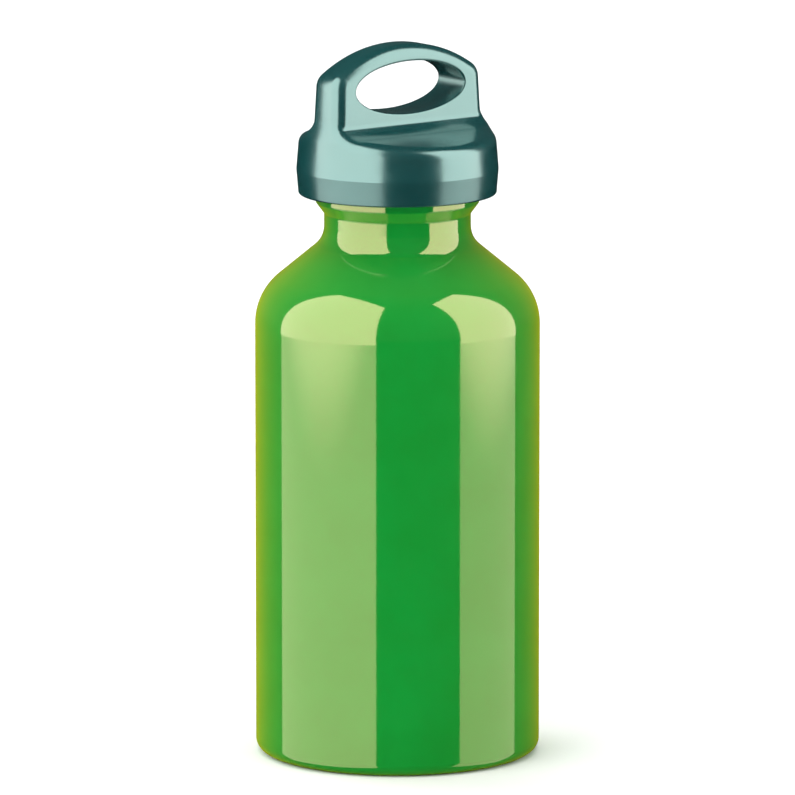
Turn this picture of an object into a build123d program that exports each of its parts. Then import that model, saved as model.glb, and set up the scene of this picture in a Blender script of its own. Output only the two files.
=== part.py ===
"""Camping fuel bottle with a push-and-turn loop cap.

Five pieces: a drawn aluminium bottle, the threaded stopper that closes its neck, the O-ring
under the stopper's flange, and the sprung outer cap that only grips the stopper when pressed.
Lengths are in millimetres. The bottle stands on Z = 0 with its axis on Z, and the carrying
loop of the cap runs along X.
"""

import math
import os

from build123d import *

# Bottle shell
body_radius = 34.0
wall = 1.0
base_thickness = 1.4
foot_rounding = 3.0
foot_width = 2.6  # the flat ring that the bottle stands on
dome_depth = 6.0
dome_rounding = 1.5
shoulder_height = 110.7  # where the barrel's line would meet the shoulder's slope
shoulder_angle = 39.6  # degrees above level
shoulder_radius = 14.7
neck_radius = 17.5
neck_fillet = 6.5
neck_length = 6.0  # from the slope's corner to the collar
neck_wall = 2.0
bore_rounding = 3.0
collar_overhang = 2.0
collar_flare = 2.7
collar_band = 6.4
collar_rounding = 0.8
lip_rounding = 0.4

# Seal, squashed flat between the lip and the flange
seal_width = 3.0
seal_height = 2.6
seal_rounding = 1.2
seal_clearance = 0.2

# Stopper
boss_clearance = 0.4
boss_length = 3.8
thread_room = 2.0  # between the stem and the bore
stem_length = 23.1  # below the flange
stem_wall = 2.5
stem_rounding = 1.0
flange_thickness = 2.0
flange_clearance = 0.7  # inside the cap's skirt
flange_rounding = 0.5
well_depth = 6.0
well_floor = 2.0
lug_count = 8
lug_height = 1.2
lug_length = 4.2  # along the radius
lug_width = 5.0
lug_inset = 1.4  # from the flange's edge

# Return spring
wire_radius = 0.45
spring_room = 1.05  # between the coil and the wall of its well
spring_turns = 4
spring_clearance = 0.05  # at each end

# Outer cap, heights measured up from its rim
skirt_wall = 2.1
skirt_depth = 12.4  # from the ceiling down to the rim
rim_rounding = 0.6
mouth_rounding = 0.5
crease_swell = 0.5  # how far the crease stands out past the rim
crease_height = 6.0
shelf_taper = 0.7  # lost from the crease's radius at the shelf
shelf_height = 14.6
shelf_rounding = 2.5
handle_inset = 1.2  # from the shelf's edge
handle_draft = 1.1  # how much narrower the ends are at the crown
flare_rise = 4.0  # from the shelf up to the handle's ends
flare_fillet = 4.0
handle_thickness = 11.1
handle_thinning = 1.6  # lost from the thickness at the crown
step_height = 17.6  # where the handle's face gives way to the step at its foot
step_drop = 2.0
step_run = 2.9
step_rounding = 1.5
ledge_rounding = 7.0  # where the step runs out onto the ledge
ledge_angle = 7.9  # degrees below level, outwards from the step
cap_height = 36.1
arch_radius = 36.0
corner_rounding = 4.0  # where the arch turns down into the ends
edge_rounding = 3.0
hole_side = 6.2  # of the handle, at each end of the hole
hole_half_height = 6.2
hole_height = 26.0
hole_rounding = 0.5
ceiling_fillet = 1.0
bead_height = 1.3
bead_reach = 1.4
bead_clearance = 0.2  # under the flange
collar_clearance = 0.6  # between the beads and the bottle's collar
bead_count = 8
bead_width = 9.0
rib_height = 1.8
rib_width = 3.0
rib_gap = 0.4  # above the stopper's lugs until the cap is pressed
guide_clearance = 0.5
guide_wall = 1.5
guide_length = 1.5

overrun = 5.0  # how far a cut runs past what it cuts

# Heights that follow from the sizes above
slope = math.tan(math.radians(shoulder_angle))
neck_corner_z = shoulder_height + (body_radius - neck_radius) * slope
collar_z = neck_corner_z + neck_length
lip_z = collar_z + collar_flare + collar_band
flange_z = lip_z + seal_height
flange_top_z = flange_z + flange_thickness
well_z = flange_top_z - well_depth
stem_z = flange_z - stem_length
rib_z = flange_top_z + lug_height + rib_gap
ceiling_z = rib_z + rib_height
rim_z = ceiling_z - skirt_depth
crown_z = rim_z + cap_height
flare_height = shelf_height + flare_rise

# Radii that follow from them
bore_radius = neck_radius - neck_wall
collar_radius = neck_radius + collar_overhang
boss_radius = bore_radius - boss_clearance
stem_radius = bore_radius - thread_room
stem_bore = stem_radius - stem_wall
spring_radius = stem_bore - spring_room - wire_radius  # to the middle of the wire
bead_radius = collar_radius + collar_clearance
skirt_radius = bead_radius + bead_reach
flange_radius = skirt_radius - flange_clearance
lug_radius = flange_radius - lug_inset - lug_length / 2
guide_radius = spring_radius - wire_radius - guide_clearance
rim_radius = skirt_radius + skirt_wall
crease_radius = rim_radius + crease_swell
shelf_radius = crease_radius - shelf_taper
handle_radius = shelf_radius - handle_inset
hole_half_length = handle_radius - hole_side
reach = crease_radius + overrun

front = Plane.YZ
back = Plane(origin=(0, 0, 0), x_dir=(0, -1, 0), z_dir=(-1, 0, 0))

os.makedirs("parts", exist_ok=True)


def under_slope(radius):
    """Height of the shoulder's inner face at a radius."""
    outside = shoulder_height + (body_radius - radius) * slope
    return outside - wall / math.cos(math.radians(shoulder_angle))


def curved(edges):
    """Those of the edges that are neither straight nor round."""
    return edges.filter_by(lambda edge: edge.geom_type not in (GeomType.LINE, GeomType.CIRCLE))


with BuildPart() as bottle_shell:
    foot_radius = body_radius - foot_rounding - foot_width
    dome_radius = (foot_radius**2 + dome_depth**2) / (2 * dome_depth)
    floor_radius = math.sqrt(
        (dome_radius + base_thickness) ** 2 - (dome_radius - dome_depth + base_thickness) ** 2
    )
    with BuildSketch(Plane.XZ) as shell_profile:
        with BuildLine():
            TangentArc((0, dome_depth), (foot_radius, 0), tangent=(1, 0))
            FilletPolyline(
                (foot_radius, 0),
                (body_radius, 0),
                (body_radius, shoulder_height),
                (neck_radius, neck_corner_z),
                (neck_radius, collar_z),
                (collar_radius, collar_z + collar_flare),
                (collar_radius, lip_z),
                (bore_radius, lip_z),
                (bore_radius, under_slope(bore_radius)),
                (body_radius - wall, under_slope(body_radius - wall)),
                (body_radius - wall, base_thickness),
                (floor_radius, base_thickness),
                radius=[
                    foot_rounding,
                    shoulder_radius,
                    neck_fillet,
                    collar_rounding,
                    collar_rounding,
                    collar_rounding,
                    lip_rounding,
                    bore_rounding,
                    shoulder_radius - wall,
                    foot_rounding - wall,
                ],
            )
            TangentArc(
                (0, dome_depth + base_thickness), (floor_radius, base_thickness), tangent=(1, 0)
            )
            Line((0, dome_depth), (0, dome_depth + base_thickness))
        make_face()
        feet = shell_profile.vertices()
        fillet(feet.sort_by_distance((foot_radius, 0, 0))[0], dome_rounding)
        feet = shell_profile.vertices()
        fillet(feet.sort_by_distance((floor_radius, base_thickness, 0))[0], dome_rounding)
    revolve()

with BuildPart() as o_ring:
    with BuildSketch(Plane.XZ):
        with Locations((boss_radius + seal_clearance + seal_width / 2, lip_z + seal_height / 2)):
            RectangleRounded(seal_width, seal_height, seal_rounding)
    revolve()

with BuildPart() as stopper:
    with BuildSketch(Plane.XZ):
        with BuildLine():
            FilletPolyline(
                (0, well_z),
                (stem_bore, well_z),
                (stem_bore, flange_top_z),
                (flange_radius, flange_top_z),
                (flange_radius, flange_z),
                (boss_radius, flange_z),
                (boss_radius, flange_z - boss_length),
                (stem_radius, flange_z - boss_length),
                (stem_radius, stem_z),
                (stem_bore, stem_z),
                (stem_bore, well_z - well_floor),
                (0, well_z - well_floor),
                radius=[
                    flange_rounding,
                    flange_rounding,
                    flange_rounding,
                    flange_rounding,
                    0,
                    flange_rounding,
                    flange_rounding,
                    stem_rounding,
                    0,
                    stem_rounding,
                ],
            )
            Line((0, well_z), (0, well_z - well_floor))
        make_face()
    revolve()
    with BuildSketch(Plane.XY.offset(flange_top_z)):
        with PolarLocations(lug_radius, lug_count):
            Rectangle(lug_length, lug_width)
    extrude(amount=lug_height)

with BuildPart() as return_spring:
    spring_z = well_z + wire_radius + spring_clearance
    spring_height = ceiling_z - wire_radius - spring_clearance - spring_z
    with BuildLine(Plane.XY.offset(spring_z)) as coil:
        Helix(spring_height / spring_turns, spring_height, spring_radius)
    with BuildSketch(Plane(origin=coil.line @ 0, z_dir=coil.line % 0)):
        Circle(wire_radius)
    sweep()

with BuildPart() as outer_cap:
    with BuildSketch(Plane.YZ):
        with BuildLine():
            FilletPolyline(
                (0, rim_z),
                (rim_radius, rim_z),
                (crease_radius, rim_z + crease_height),
                (shelf_radius, rim_z + shelf_height),
                (handle_radius, rim_z + flare_height),
                (handle_radius - handle_draft, crown_z + overrun),
                (0, crown_z + overrun),
                radius=[rim_rounding, 0, shelf_rounding, flare_fillet, 0],
            )
            Line((0, rim_z), (0, crown_z + overrun))
        make_face()
    revolve()

    # Arched top of the handle
    with BuildSketch(Plane.XZ):
        with Locations((0, crown_z)):
            Rectangle(2 * reach, 2 * (crown_z - rim_z - flare_height - flare_fillet))
        with Locations((0, crown_z - arch_radius)):
            Circle(arch_radius, mode=Mode.SUBTRACT)
    extrude(amount=reach, both=True, mode=Mode.SUBTRACT)

    # Crescent ledges that leave the handle standing between two flat faces
    half_thickness = handle_thickness / 2
    step_z = rim_z + step_height
    ledge_z = step_z - step_drop
    ledge_fall = (reach - half_thickness - step_run) * math.tan(math.radians(ledge_angle))
    with BuildSketch(front, back):
        with BuildLine():
            FilletPolyline(
                (reach, crown_z + overrun),
                (half_thickness - handle_thinning / 2, crown_z + overrun),
                (half_thickness, step_z),
                (half_thickness + step_run, ledge_z),
                (reach, ledge_z - ledge_fall),
                (reach, crown_z + overrun),
                radius=[0, 0, step_rounding, ledge_rounding, 0],
            )
        make_face()
    extrude(amount=reach, both=True, mode=Mode.SUBTRACT)

    # The handle's ends are rounded into the arch first, then every edge that the cuts left
    corners = curved(outer_cap.edges()).filter_by(lambda edge: abs(edge.center().Y) < half_thickness / 2)
    fillet(corners, corner_rounding)
    cut_edges = curved(outer_cap.edges()).filter_by(lambda edge: abs(edge.center().Y) > half_thickness / 2)
    fillet(cut_edges, edge_rounding)

    # Finger hole through the handle
    with BuildSketch(Plane.XZ):
        with Locations((0, rim_z + hole_height)):
            Ellipse(hole_half_length, hole_half_height)
    extrude(amount=reach, both=True, mode=Mode.SUBTRACT)
    fillet(curved(outer_cap.edges(Select.LAST)), hole_rounding)

    # Cavity that the stopper's flange and the bottle's lip fit in
    with BuildSketch(Plane.YZ):
        with BuildLine():
            FilletPolyline(
                (0, rim_z - overrun),
                (skirt_radius, rim_z - overrun),
                (skirt_radius, ceiling_z),
                (0, ceiling_z),
                (0, rim_z - overrun),
                radius=[0, 0, ceiling_fillet, 0],
            )
        make_face()
    revolve(mode=Mode.SUBTRACT)
    mouth = outer_cap.edges().filter_by(GeomType.CIRCLE).group_by(Axis.Z)[0].sort_by(SortBy.RADIUS)[0]
    fillet(mouth, mouth_rounding)

    # Snap beads that keep the stopper's flange in the cap
    with BuildSketch(Plane.XY.offset(flange_z - bead_clearance - bead_height)):
        Circle(skirt_radius + skirt_wall / 2)
        Circle(bead_radius, mode=Mode.SUBTRACT)
        with PolarLocations(skirt_radius, bead_count):
            Rectangle(skirt_wall + 2 * bead_reach, bead_width, mode=Mode.INTERSECT)
    extrude(amount=bead_height)

    # Ribs that drop between the stopper's lugs when the cap is pressed
    with BuildSketch(Plane.XY.offset(rib_z)):
        with PolarLocations(lug_radius, lug_count, start_angle=180 / lug_count):
            Rectangle(lug_length, rib_width)
    extrude(until=Until.NEXT)

    # Ring that centres the return spring
    with BuildSketch(Plane.XY.offset(ceiling_z - guide_length)):
        Circle(guide_radius)
        Circle(guide_radius - guide_wall, mode=Mode.SUBTRACT)
    extrude(until=Until.NEXT)

for piece, name in (
    (bottle_shell, "bottle_shell"),
    (o_ring, "o_ring"),
    (stopper, "stopper"),
    (return_spring, "return_spring"),
    (outer_cap, "outer_cap"),
):
    piece.part.label = name
    export_step(piece.part, f"parts/{name}.step")
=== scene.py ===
"""Looks of the camping fuel bottle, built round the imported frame. Lengths are in metres."""

import math

import bpy
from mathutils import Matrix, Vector


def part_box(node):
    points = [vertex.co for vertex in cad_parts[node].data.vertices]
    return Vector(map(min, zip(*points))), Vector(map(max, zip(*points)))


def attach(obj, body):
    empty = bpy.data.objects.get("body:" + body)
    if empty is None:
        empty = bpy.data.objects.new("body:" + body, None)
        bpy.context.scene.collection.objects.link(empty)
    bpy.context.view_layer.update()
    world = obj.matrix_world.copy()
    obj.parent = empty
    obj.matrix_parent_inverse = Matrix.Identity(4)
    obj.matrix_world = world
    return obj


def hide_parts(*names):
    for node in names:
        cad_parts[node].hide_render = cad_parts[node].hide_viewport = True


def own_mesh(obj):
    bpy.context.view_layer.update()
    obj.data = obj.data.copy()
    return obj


MM = 0.001

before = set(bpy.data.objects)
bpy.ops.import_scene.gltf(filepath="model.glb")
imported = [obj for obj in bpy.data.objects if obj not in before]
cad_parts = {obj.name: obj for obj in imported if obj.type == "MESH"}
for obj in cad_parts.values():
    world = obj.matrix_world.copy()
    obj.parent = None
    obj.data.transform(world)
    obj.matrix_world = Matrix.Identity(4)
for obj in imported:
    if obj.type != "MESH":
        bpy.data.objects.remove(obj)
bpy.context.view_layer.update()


# Sizes read from the frame

shell_low, shell_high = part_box("bottle_shell")
spring_low, spring_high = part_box("return_spring")
stopper_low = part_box("stopper")[0]
cap_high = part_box("outer_cap")[1]

BODY_RADIUS = shell_high.x
LIP_Z = shell_high.z
STEM_Z = stopper_low.z
SPRING_OUTSIDE = spring_high.x
OBJECT_MIDDLE_Z = (shell_low.z + cap_high.z) / 2

# Bottle profile, the same sizes as the solid
WALL = 1.0 * MM
BASE_THICKNESS = 1.4 * MM
FOOT_ROUNDING = 3.0 * MM
FOOT_WIDTH = 2.6 * MM
DOME_DEPTH = 6.0 * MM
DOME_ROUNDING = 1.5 * MM
SHOULDER_HEIGHT = 110.7 * MM
SHOULDER_ANGLE = math.radians(39.6)
SHOULDER_RADIUS = 14.7 * MM
NECK_RADIUS = 17.5 * MM
NECK_FILLET = 6.5 * MM
NECK_LENGTH = 6.0 * MM
BORE_RADIUS = 15.5 * MM
BORE_ROUNDING = 3.0 * MM
COLLAR_RADIUS = 19.5 * MM
COLLAR_FLARE = 2.7 * MM
COLLAR_ROUNDING = 0.8 * MM
LIP_ROUNDING = 0.4 * MM

# Neck and stopper threads
PITCH = 3.0 * MM
STEM_RADIUS = 13.5 * MM
RIDGE_ROOT = 1.9 * MM
RIDGE_CREST = 0.6 * MM
RIDGE_HEIGHT = 1.4 * MM
RIDGE_BEVEL = 0.15 * MM
RIDGE_SINK = 0.06 * MM  # how far its foot reaches into the wall
RIDGE_RUNOUT = math.radians(50)
RIDGE_END_SHARE = 0.35  # of its width that is left where it runs out
STEM_THREAD_LOW = 2.2 * MM
STEM_THREAD_TURNS = 4.4
NECK_THREAD_DROP = 2.4 * MM
NECK_THREAD_TURNS = 3.2
NECK_THREAD_LOW = LIP_Z - NECK_THREAD_DROP - NECK_THREAD_TURNS * PITCH
THREAD_STEPS = 96  # a turn
THREAD_CREASE = math.radians(35)

# Return spring
WIRE_RADIUS = 0.45 * MM
SPRING_TURNS = 5.5
CLOSED_TURNS = 0.75
CLOSED_PITCH = 2.04 * WIRE_RADIUS
SPRING_STEPS = 64  # a turn
WIRE_SIDES = 14

# How finely curves are divided
ROUND_STEPS = 256
TURN_STEP = math.radians(3)
DOME_STEPS = 24

ON_AXIS = 1e-7  # a smaller radius counts as none
HEIGHT_DIGITS = 7  # heights that agree to these digits are level


# Mesh builders


def arc_points(centre, start, turn):
    """Points and outward directions of an arc that starts at centre + start."""
    steps = max(2, math.ceil(abs(turn) / TURN_STEP))
    found = []
    for step in range(steps + 1):
        angle = turn * step / steps
        spoke = Vector(
            (
                start.x * math.cos(angle) - start.y * math.sin(angle),
                start.x * math.sin(angle) + start.y * math.cos(angle),
            )
        )
        bulge = spoke.normalized() * (1 if turn > 0 else -1)
        found.append((centre + spoke, bulge))
    return found


def rounded_path(points, radii):
    """Outline in (radius, height) with its corners rounded, and the outward direction at each point.

    The outline runs with the material on its left, so outward is to the right of travel.
    """
    points = [Vector(point) for point in points]
    path = [(points[0], right_of(points[1] - points[0]))]
    for before, corner, after, radius in zip(points, points[1:], points[2:], radii):
        arriving, leaving = right_of(corner - before), right_of(after - corner)
        if radius == 0:
            path.append((corner, (arriving + leaving).normalized()))
            continue
        back, ahead = (before - corner).normalized(), (after - corner).normalized()
        opening = back.angle(ahead)
        reach = radius / math.tan(opening / 2)
        centre = corner + (back + ahead).normalized() * radius / math.sin(opening / 2)
        turn = math.pi - opening
        if arriving.x * leaving.y - arriving.y * leaving.x < 0:
            turn = -turn
        path.extend(arc_points(centre, corner + back * reach - centre, turn))
    path.append((points[-1], right_of(points[-1] - points[-2])))
    return path


def right_of(direction):
    return Vector((direction.y, -direction.x)).normalized()


def new_object(name, vertices, faces):
    mesh = bpy.data.meshes.new(name)
    mesh.from_pydata(vertices, [], faces)
    mesh.shade_smooth()
    obj = bpy.data.objects.new(name, mesh)
    bpy.context.scene.collection.objects.link(obj)
    return obj


def lathe(name, path):
    """Solid of revolution of an outline that starts and ends on the axis, with exact normals."""
    vertices, normals, rings = [], [], []
    for point, outward in path:
        if point.x < ON_AXIS:
            rings.append([len(vertices)])
            vertices.append((0, 0, point.y))
            normals.append((0, 0, math.copysign(1, outward.y)))
            continue
        rings.append(range(len(vertices), len(vertices) + ROUND_STEPS))
        for step in range(ROUND_STEPS):
            turn = 2 * math.pi * step / ROUND_STEPS
            vertices.append((point.x * math.cos(turn), point.x * math.sin(turn), point.y))
            normals.append((outward.x * math.cos(turn), outward.x * math.sin(turn), outward.y))
    faces, bands = [], []
    for band, (low, high) in enumerate(zip(rings, rings[1:])):
        for step in range(ROUND_STEPS):
            ahead = (step + 1) % ROUND_STEPS
            if len(low) == 1:
                faces.append((low[0], high[ahead], high[step]))
            elif len(high) == 1:
                faces.append((low[step], low[ahead], high[0]))
            else:
                faces.append((low[step], low[ahead], high[ahead], high[step]))
            bands.append(band)
    obj = new_object(name, vertices, faces)
    obj.data.normals_split_custom_set_from_vertices(normals)
    return obj, bands


def swept(name, rings):
    """Closed tube through rings of equal length, capped at both ends."""
    size = len(rings[0])
    vertices = [vertex for ring in rings for vertex in ring]
    faces = [tuple(range(size))[::-1], tuple(range(len(vertices) - size, len(vertices)))]
    for start in range(0, len(vertices) - size, size):
        for side in range(size):
            ahead = (side + 1) % size
            faces.append((start + side, start + ahead, start + size + ahead, start + size + side))
    return new_object(name, vertices, faces)


def thread_ridge(name, wall_radius, outward, low, turns, start_angle):
    """Right-handed thread ridge on a wall, standing outward (1) or inward (-1)."""
    steps = math.ceil(turns * THREAD_STEPS)
    section = (
        (-RIDGE_SINK, -RIDGE_ROOT / 2),
        (RIDGE_HEIGHT - RIDGE_BEVEL, -RIDGE_CREST / 2),
        (RIDGE_HEIGHT, -RIDGE_CREST / 2 + RIDGE_BEVEL),
        (RIDGE_HEIGHT, RIDGE_CREST / 2 - RIDGE_BEVEL),
        (RIDGE_HEIGHT - RIDGE_BEVEL, RIDGE_CREST / 2),
        (-RIDGE_SINK, RIDGE_ROOT / 2),
    )
    if outward < 0:
        section = section[::-1]
    rings = []
    for step in range(steps + 1):
        turned = 2 * math.pi * turns * step / steps
        from_end = min(turned, 2 * math.pi * turns - turned)
        share = math.sin(math.pi / 2 * min(1, from_end / RIDGE_RUNOUT))
        angle = start_angle + turned
        middle = low + PITCH * turned / (2 * math.pi)
        ring = []
        for height, along in section:
            stand = height if height < 0 else height * share
            radius = wall_radius + outward * stand
            z = middle + along * (RIDGE_END_SHARE + (1 - RIDGE_END_SHARE) * share)
            ring.append((radius * math.cos(angle), radius * math.sin(angle), z))
        rings.append(ring)
    obj = swept(name, rings)
    obj.data.set_sharp_from_angle(angle=THREAD_CREASE)
    return obj


def spring_height(turn, low, high):
    """Height of the wire's middle, with the end turns closed against their neighbours."""
    if turn < CLOSED_TURNS:
        return low + CLOSED_PITCH * turn
    if turn > SPRING_TURNS - CLOSED_TURNS:
        return high - CLOSED_PITCH * (SPRING_TURNS - turn)
    share = (turn - CLOSED_TURNS) / (SPRING_TURNS - 2 * CLOSED_TURNS)
    bottom, top = low + CLOSED_PITCH * CLOSED_TURNS, high - CLOSED_PITCH * CLOSED_TURNS
    return bottom + (top - bottom) * share


def coil_spring(name, radius, low, high):
    steps = math.ceil(SPRING_TURNS * SPRING_STEPS)
    rings = []
    for step in range(steps + 1):
        turn = SPRING_TURNS * step / steps
        angle = 2 * math.pi * turn
        z = spring_height(turn, low, high)
        ring = []
        for side in range(WIRE_SIDES):
            tilt = 2 * math.pi * side / WIRE_SIDES
            out = radius + WIRE_RADIUS * math.cos(tilt)
            ring.append((out * math.cos(angle), out * math.sin(angle), z - WIRE_RADIUS * math.sin(tilt)))
        rings.append(ring)
    return swept(name, rings)


# Materials

# Parts of a noise's range that its values mostly fill
NOISE_MIDDLE = (0.3, 0.7)
NOISE_WIDE = (0.3, 0.8)

# How far rubbing takes a moulding's roughness down and up
RUBBED_SMOOTHER = 0.03
RUBBED_ROUGHER = 0.04


def new_material(name, **sockets):
    material = bpy.data.materials.new(name)
    material.use_nodes = True
    shader = material.node_tree.nodes["Principled BSDF"]
    for socket, value in sockets.items():
        shader.inputs[socket.replace("_", " ")].default_value = value
    return material, material.node_tree, shader


def srgb(red, green, blue):
    """Linear colour of a written sRGB colour."""
    linear = []
    for level in (red, green, blue):
        share = level / 255
        linear.append(share / 12.92 if share <= 0.04045 else ((share + 0.055) / 1.055) ** 2.4)
    return (*linear, 1)


def noise(tree, grain, detail=2.0, stretch=None, roughness=0.5):
    """Noise whose features are about grain metres across, fixed to the piece."""
    place = tree.nodes.new("ShaderNodeTexCoord")
    texture = tree.nodes.new("ShaderNodeTexNoise")
    texture.inputs["Scale"].default_value = 1 / grain
    texture.inputs["Detail"].default_value = detail
    texture.inputs["Roughness"].default_value = roughness
    source = place.outputs["Object"]
    if stretch:
        mapping = tree.nodes.new("ShaderNodeMapping")
        mapping.inputs["Scale"].default_value = stretch
        tree.links.new(source, mapping.inputs["Vector"])
        source = mapping.outputs["Vector"]
    tree.links.new(source, texture.inputs["Vector"])
    return texture.outputs["Fac"]


def spread(tree, value, low, high, to_low, to_high, smooth=False):
    """Value mapped from low..high to to_low..to_high."""
    node = tree.nodes.new("ShaderNodeMapRange")
    if smooth:
        node.interpolation_type = "SMOOTHSTEP"
    for socket, number in zip(("From Min", "From Max", "To Min", "To Max"), (low, high, to_low, to_high)):
        node.inputs[socket].default_value = number
    tree.links.new(value, node.inputs["Value"])
    return node.outputs["Result"]


def mix_colours(tree, share, first, second):
    node = tree.nodes.new("ShaderNodeMix")
    node.data_type = "RGBA"
    tree.links.new(share, node.inputs["Factor"])
    # Sockets 6 and 7 take the colours of this node, and output 2 gives theirs
    node.inputs[6].default_value = first
    node.inputs[7].default_value = second
    return node.outputs[2]


def shaded(tree, tone, dark, light):
    """Colour that goes from dark to light with a noise."""
    return mix_colours(tree, spread(tree, tone, *NOISE_MIDDLE, 0, 1), dark, light)


def bump(tree, height, depth):
    """Bump of a 0..1 height that is depth metres deep."""
    node = tree.nodes.new("ShaderNodeBump")
    node.inputs["Strength"].default_value = 1.0
    node.inputs["Distance"].default_value = depth
    tree.links.new(height, node.inputs["Height"])
    return node.outputs["Normal"]


def enamel():
    """Glossy green stove enamel."""
    material, tree, shader = new_material(
        "green_enamel",
        IOR=1.8,
        Specular_IOR_Level=0.84,
        Specular_Tint=(1.0, 0.74, 0.42, 1),
        Sheen_Weight=0.6,
        Sheen_Roughness=0.43,
        Sheen_Tint=(0.9, 0.75, 0.0, 1),
    )
    tone = noise(tree, 18 * MM, detail=3.0)
    colour = shaded(tree, tone, srgb(0, 145, 49), srgb(0, 152, 55))
    tree.links.new(colour, shader.inputs["Base Color"])
    smear = noise(tree, 6 * MM, detail=4.0)
    roughness = spread(tree, smear, *NOISE_WIDE, to_low=0.045, to_high=0.085)
    tree.links.new(roughness, shader.inputs["Roughness"])
    peel = noise(tree, 0.9 * MM)
    tree.links.new(bump(tree, peel, 0.0025 * MM), shader.inputs["Normal"])
    return material


def bare_aluminium():
    """Drawn aluminium inside the bottle."""
    material, tree, shader = new_material("bare_aluminium", Metallic=1.0)
    lines = noise(tree, 0.5 * MM, detail=3.0, stretch=(1, 1, 0.05))
    colour = shaded(tree, lines, srgb(168, 170, 170), srgb(190, 190, 188))
    tree.links.new(colour, shader.inputs["Base Color"])
    roughness = spread(tree, lines, *NOISE_MIDDLE, to_low=0.3, to_high=0.45)
    tree.links.new(roughness, shader.inputs["Roughness"])
    return material


def moulded(name, dark, light, rough, grain, depth, **sockets):
    """Plastic moulded in a spark-eroded tool."""
    material, tree, shader = new_material(name, **sockets)
    tone = noise(tree, 12 * MM, detail=4.0)
    tree.links.new(shaded(tree, tone, dark, light), shader.inputs["Base Color"])
    rub = noise(tree, 5 * MM, detail=4.0)
    roughness = spread(tree, rub, *NOISE_WIDE, rough - RUBBED_SMOOTHER, rough + RUBBED_ROUGHER)
    tree.links.new(roughness, shader.inputs["Roughness"])
    fine = noise(tree, grain, detail=3.0, roughness=0.65)
    tree.links.new(bump(tree, fine, depth), shader.inputs["Normal"])
    return material


def rubber():
    """Black nitrile rubber."""
    material, tree, shader = new_material("nitrile_rubber", Specular_IOR_Level=0.4)
    tone = noise(tree, 3 * MM, detail=3.0)
    tree.links.new(shaded(tree, tone, srgb(24, 24, 25), srgb(38, 38, 39)), shader.inputs["Base Color"])
    roughness = spread(tree, tone, *NOISE_MIDDLE, to_low=0.45, to_high=0.62)
    tree.links.new(roughness, shader.inputs["Roughness"])
    fine = noise(tree, 0.15 * MM)
    tree.links.new(bump(tree, fine, 0.004 * MM), shader.inputs["Normal"])
    return material


def spring_wire():
    """Bright drawn steel wire."""
    material, tree, shader = new_material("spring_wire", Metallic=1.0)
    marks = noise(tree, 0.4 * MM, detail=3.0)
    colour = shaded(tree, marks, srgb(150, 150, 150), srgb(182, 182, 180))
    tree.links.new(colour, shader.inputs["Base Color"])
    roughness = spread(tree, marks, *NOISE_MIDDLE, to_low=0.22, to_high=0.38)
    tree.links.new(roughness, shader.inputs["Roughness"])
    return material


# Pieces


def under_slope(radius):
    """Height of the shoulder's inner face at a radius."""
    outside = SHOULDER_HEIGHT + (BODY_RADIUS - radius) * math.tan(SHOULDER_ANGLE)
    return outside - WALL / math.cos(SHOULDER_ANGLE)


def dome_points(radius, crown, end):
    """Points of a shallow dome from the axis out to just short of its corner."""
    last = math.asin(end / radius) - DOME_ROUNDING / radius
    angles = [last * step / DOME_STEPS for step in range(DOME_STEPS + 1)]
    return [(radius * math.sin(angle), crown - radius + radius * math.cos(angle)) for angle in angles]


def bottle_path():
    """Outline of the bottle's wall from the underside of its dome, over the lip, to its inside."""
    slope = math.tan(SHOULDER_ANGLE)
    foot = BODY_RADIUS - FOOT_ROUNDING - FOOT_WIDTH
    dome = (foot**2 + DOME_DEPTH**2) / (2 * DOME_DEPTH)
    inner_dome = dome + BASE_THICKNESS
    floor = math.sqrt(inner_dome**2 - (inner_dome - DOME_DEPTH) ** 2)
    neck_corner = SHOULDER_HEIGHT + (BODY_RADIUS - NECK_RADIUS) * slope
    collar = neck_corner + NECK_LENGTH
    under = dome_points(dome, DOME_DEPTH, foot)
    over = dome_points(inner_dome, DOME_DEPTH + BASE_THICKNESS, floor)
    outside = [
        ((foot, 0), DOME_ROUNDING),
        ((BODY_RADIUS, 0), FOOT_ROUNDING),
        ((BODY_RADIUS, SHOULDER_HEIGHT), SHOULDER_RADIUS),
        ((NECK_RADIUS, neck_corner), NECK_FILLET),
        ((NECK_RADIUS, collar), COLLAR_ROUNDING),
        ((COLLAR_RADIUS, collar + COLLAR_FLARE), COLLAR_ROUNDING),
        ((COLLAR_RADIUS, LIP_Z), COLLAR_ROUNDING),
        ((BORE_RADIUS, LIP_Z), LIP_ROUNDING),
        ((BORE_RADIUS, under_slope(BORE_RADIUS)), BORE_ROUNDING),
        ((BODY_RADIUS - WALL, under_slope(BODY_RADIUS - WALL)), SHOULDER_RADIUS - WALL),
        ((BODY_RADIUS - WALL, BASE_THICKNESS), FOOT_ROUNDING - WALL),
        ((floor, BASE_THICKNESS), DOME_ROUNDING),
    ]
    points = under + [corner for corner, _ in outside] + over[::-1]
    radii = [0] * (len(under) - 1) + [radius for _, radius in outside] + [0] * (len(over) - 1)
    return rounded_path(points, radii)


def make_bottle():
    path = bottle_path()
    shell, bands = lathe("bottle", path)
    shell.data.materials.append(enamel())
    shell.data.materials.append(bare_aluminium())
    # The enamel ends at the innermost of the highest points
    lip = max(
        range(len(path)),
        key=lambda index: (round(path[index][0].y, HEIGHT_DIGITS), -path[index][0].x),
    )
    for polygon, band in zip(shell.data.polygons, bands):
        polygon.material_index = int(band >= lip)
    ridge = thread_ridge("neck_thread", BORE_RADIUS, -1, NECK_THREAD_LOW, NECK_THREAD_TURNS, 0)
    ridge.data.materials.append(shell.data.materials[1])
    for piece in (shell, ridge):
        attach(piece, "bottle")
    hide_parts("bottle_shell")


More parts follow.
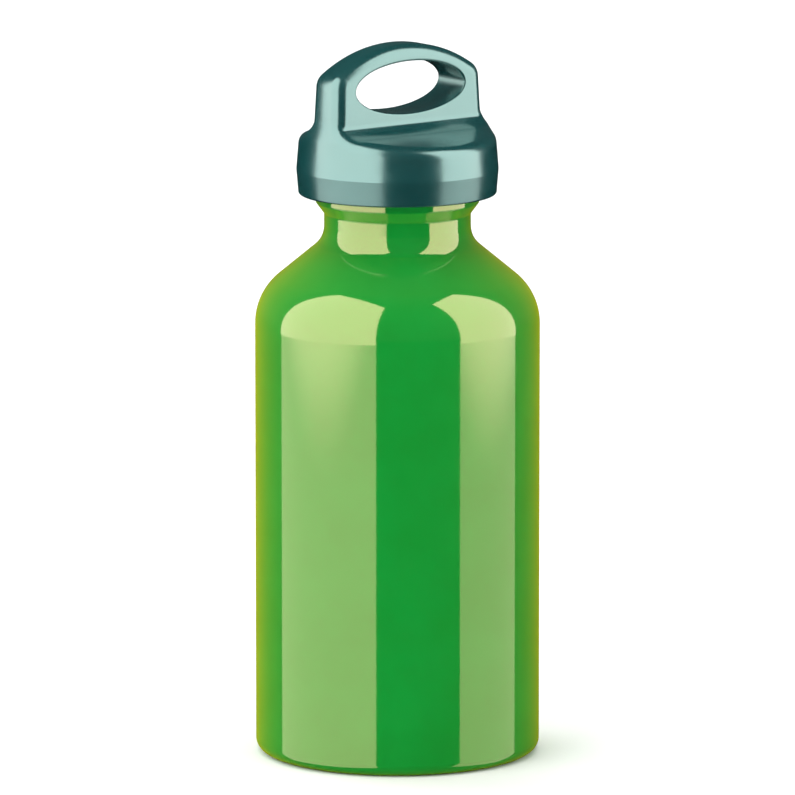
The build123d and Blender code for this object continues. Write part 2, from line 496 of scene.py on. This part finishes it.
def make_stopper_thread(material):
    low = STEM_Z + STEM_THREAD_LOW
    # The stopper's ridge winds midway between the turns of the neck's
    start_angle = 2 * math.pi * ((low - NECK_THREAD_LOW) / PITCH + 0.5)
    ridge = thread_ridge("stopper_thread", STEM_RADIUS, 1, low, STEM_THREAD_TURNS, start_angle)
    ridge.data.materials.append(material)
    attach(ridge, "plug")


def make_spring():
    low, high = spring_low.z + WIRE_RADIUS, spring_high.z - WIRE_RADIUS
    coil = coil_spring("spring_coil", SPRING_OUTSIDE - WIRE_RADIUS, low, high)
    coil.data.materials.append(spring_wire())
    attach(coil, "spring")
    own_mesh(coil)
    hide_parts("return_spring")


def dress(node, material):
    """Give a solid that stays in view its material."""
    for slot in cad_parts[node].material_slots:
        slot.material = material


def make_pieces():
    make_bottle()
    plug_material = moulded(
        "stopper_plastic",
        dark=srgb(30, 32, 33),
        light=srgb(38, 40, 41),
        rough=0.42,
        grain=0.18 * MM,
        depth=0.006 * MM,
    )
    dress("stopper", plug_material)
    dress("o_ring", rubber())
    make_stopper_thread(plug_material)
    make_spring()
    cap_material = moulded(
        "cap_plastic",
        dark=srgb(3, 60, 60),
        light=srgb(7, 68, 68),
        rough=0.22,
        grain=0.45 * MM,
        depth=0.007 * MM,
        IOR=1.8,
        Specular_IOR_Level=0.98,
        Specular_Tint=(0.7, 1.0, 0.92, 1),
    )
    dress("outer_cap", cap_material)


# Stage

VIEW_AZIMUTH = math.radians(-37.2)
VIEW_ELEVATION = math.radians(10.1)
VIEW_DISTANCE = 2.2
FRAME_HEIGHT = 0.190
SENSOR = 36.0
CLIP_START = 0.05

PANEL_LEVEL = 3.4  # radiance of the panels that the gloss shows
PANEL_FADE = (-0.075, -0.018)  # heights between which they fade to their low share
PANEL_TOP_SHARE = 1.06
PANEL_DISTANCE = 0.8
PANEL_FOOT = -0.8
PANELS = (  # name, azimuths in degrees that it spans, height of its top, low share
    ("left_panel", -107, -17, 2.2, 0.5),
    ("right_panel", 51, 109, 1.9, 0.4),
)
LAMP_LEVEL = 3.05  # radiance of a lamp of share 1
LAMP_DISTANCE = 2.0
LAMP_SIZE = 1.6
LAMPS = (  # name, azimuth and elevation in degrees, share of the level
    ("left_lamp", -50, 35, 1.0),
    ("right_lamp", 60, 30, 0.8),
    ("back_left_lamp", -130, 30, 1.0),
    ("back_right_lamp", 140, 40, 0.15),
    ("top_lamp", 0, 88, 1.0),
)
BACKDROP_LAMP_LEVEL = 2.4
BACKDROP_LAMP_DISTANCE = 2.6
BACKDROP_LAMP_HEIGHT = 1.8
BACKDROP_LAMP_SIZE = 2.4
SKY_LEVEL = 0.06
GROUND_LEVEL = 0.012  # what the gloss sees below the horizon
HORIZON_FADE = (-0.06, 0.02)
FLOOR_HALF = 8.0
FLOOR_GRAIN = 0.25
FLOOR_DARK = (0.86, 0.86, 0.86, 1)
FLOOR_LIGHT = (0.88, 0.88, 0.88, 1)


def toward(azimuth, elevation=0.0):
    """Direction from the object, with azimuth counted from the camera to the viewer's right."""
    turn = VIEW_AZIMUTH + azimuth
    return Vector(
        (
            math.sin(turn) * math.cos(elevation),
            -math.cos(turn) * math.cos(elevation),
            math.sin(elevation),
        )
    )


def make_camera():
    camera = bpy.data.objects.new("camera", bpy.data.cameras.new("camera"))
    bpy.context.scene.collection.objects.link(camera)
    target = Vector((0, 0, OBJECT_MIDDLE_Z))
    away = toward(0, VIEW_ELEVATION)
    camera.location = target + away * VIEW_DISTANCE
    camera.rotation_euler = away.to_track_quat("Z", "Y").to_euler()
    camera.data.sensor_width = SENSOR
    camera.data.lens = SENSOR * VIEW_DISTANCE / FRAME_HEIGHT
    camera.data.clip_start = CLIP_START
    bpy.context.scene.camera = camera


def area_light(name, centre, facing, width, height, radiance, glossy):
    """Lamp that faces against the direction facing, and lights only gloss or only matt colour."""
    data = bpy.data.lights.new(name, "AREA")
    data.shape = "RECTANGLE"
    data.size = width
    data.size_y = height
    data.energy = radiance * math.pi * width * height
    light = bpy.data.objects.new(name, data)
    bpy.context.scene.collection.objects.link(light)
    light.location = centre
    light.rotation_euler = (-facing).to_track_quat("-Z", "Y").to_euler()
    light.visible_camera = False
    light.visible_glossy = glossy
    light.visible_diffuse = not glossy
    return light


def glossy_panel(name, from_degrees, to_degrees, top, low_share):
    """Upright panel that only gloss sees, between two azimuths from the camera's direction."""
    middle = math.radians((from_degrees + to_degrees) / 2)
    half = math.radians(abs(to_degrees - from_degrees) / 2)
    facing = toward(middle)
    width = 2 * PANEL_DISTANCE * math.tan(half)
    centre = facing * PANEL_DISTANCE + Vector((0, 0, (top + PANEL_FOOT) / 2))
    light = area_light(name, centre, facing, width, top - PANEL_FOOT, PANEL_LEVEL, glossy=True)
    light.data.use_nodes = True
    tree = light.data.node_tree
    place = tree.nodes.new("ShaderNodeNewGeometry")
    split = tree.nodes.new("ShaderNodeSeparateXYZ")
    tree.links.new(place.outputs["Position"], split.inputs["Vector"])
    fade = spread(tree, split.outputs["Z"], *PANEL_FADE, low_share, PANEL_TOP_SHARE, smooth=True)
    tree.links.new(fade, tree.nodes["Emission"].inputs["Strength"])


def make_lights():
    for panel in PANELS:
        glossy_panel(*panel)
    for name, azimuth, elevation, share in LAMPS:
        direction = toward(math.radians(azimuth), math.radians(elevation))
        centre = direction * LAMP_DISTANCE
        area_light(name, centre, direction, LAMP_SIZE, LAMP_SIZE, LAMP_LEVEL * share, glossy=False)
    area_light(
        "backdrop_lamp",
        toward(math.pi) * BACKDROP_LAMP_DISTANCE + Vector((0, 0, BACKDROP_LAMP_HEIGHT)),
        Vector((0, 0, 1)),
        BACKDROP_LAMP_SIZE,
        BACKDROP_LAMP_SIZE,
        BACKDROP_LAMP_LEVEL,
        glossy=False,
    )


def make_world():
    world = bpy.data.worlds.new("studio")
    bpy.context.scene.world = world
    world.use_nodes = True
    tree = world.node_tree
    background = tree.nodes["Background"]
    background.inputs["Color"].default_value = (1, 1, 1, 1)
    place = tree.nodes.new("ShaderNodeTexCoord")
    split = tree.nodes.new("ShaderNodeSeparateXYZ")
    tree.links.new(place.outputs["Generated"], split.inputs["Vector"])
    level = spread(tree, split.outputs["Z"], *HORIZON_FADE, GROUND_LEVEL, SKY_LEVEL, smooth=True)
    tree.links.new(level, background.inputs["Strength"])


def make_floor():
    half = FLOOR_HALF
    corners = ((-half, -half, 0), (half, -half, 0), (half, half, 0), (-half, half, 0))
    floor = new_object("floor", corners, [(0, 1, 2, 3)])
    material, tree, shader = new_material("pale_floor", Roughness=0.9, Specular_IOR_Level=0.1)
    colour = mix_colours(tree, noise(tree, FLOOR_GRAIN), FLOOR_DARK, FLOOR_LIGHT)
    tree.links.new(colour, shader.inputs["Base Color"])
    floor.data.materials.append(material)
    # Panels that reach below the floor still show in the gloss
    floor.visible_glossy = False


bpy.context.scene.view_settings.view_transform = "Standard"
make_camera()
make_lights()
make_world()
make_floor()
make_pieces()
